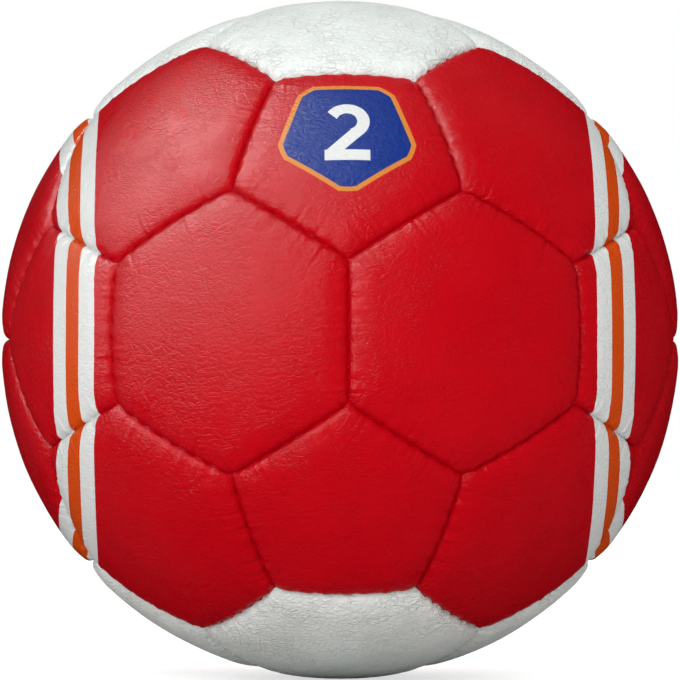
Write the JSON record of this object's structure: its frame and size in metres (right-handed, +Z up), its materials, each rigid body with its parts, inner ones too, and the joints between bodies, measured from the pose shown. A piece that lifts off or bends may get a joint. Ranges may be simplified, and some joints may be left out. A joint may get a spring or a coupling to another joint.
{
  "type": "handball",
  "caption": "Stitched handball of red and white synthetic-leather hexagon and pentagon panels, padded and lined, round an air bladder with a needle valve.",
  "frame": {"origin": "the ball's centre", "axes": "+Z up, -Y towards the viewer of the picture, +X to the viewer's right; all three run through the middles of seams between two hexagons"},
  "size_m": [0.1748, 0.1748, 0.1748],
  "materials": {
    "red_skin": "grained synthetic leather, satin",
    "white_skin": "grained synthetic leather, satin",
    "foam": "open-cell foam",
    "lining": "woven polyester and cotton",
    "thread": "waxed polyester thread",
    "bladder_rubber": "matt butyl rubber",
    "valve_rubber": "moulded rubber",
    "valve_insert": "soft moulded rubber"
  },
  "bodies": {
    "root": {"hexagon_front_left": "red_skin", "hexagon_front_right": "red_skin", "hexagon_back_left": "red_skin", "hexagon_back_right": "red_skin", "hexagon_left_upper": "red_skin", "hexagon_left_lower": "red_skin", "hexagon_right_upper": "red_skin", "hexagon_right_lower": "red_skin", "hexagon_front_left_upper": "red_skin", "hexagon_front_right_upper": "red_skin", "hexagon_front_left_lower": "red_skin", "hexagon_front_right_lower": "red_skin", "hexagon_back_left_upper": "red_skin", "hexagon_back_right_upper": "red_skin", "hexagon_back_left_lower": "red_skin", "hexagon_back_right_lower": "red_skin", "pentagon_front_upper": "red_skin", "pentagon_front_lower": "red_skin", "pentagon_back_upper": "red_skin", "pentagon_back_lower": "red_skin", "pentagon_left_front": "red_skin", "pentagon_left_back": "red_skin", "pentagon_right_front": "red_skin", "pentagon_right_back": "red_skin", "hexagon_top_front": "white_skin", "hexagon_top_back": "white_skin", "hexagon_bottom_front": "white_skin", "hexagon_bottom_back": "white_skin", "pentagon_top_left": "white_skin", "pentagon_top_right": "white_skin", "pentagon_bottom_left": "white_skin", "pentagon_bottom_right": "white_skin", "hexagon_foam_pads": "foam", "pentagon_foam_pads": "foam", "hexagon_linings": "lining", "pentagon_linings": "lining", "thread_between_hexagons": "thread", "thread_round_pentagons": "thread", "bladder": "bladder_rubber", "valve_housing": "valve_rubber", "valve_plug": "valve_insert", "valve_patch": "bladder_rubber"}
  },
  "joints": []
}
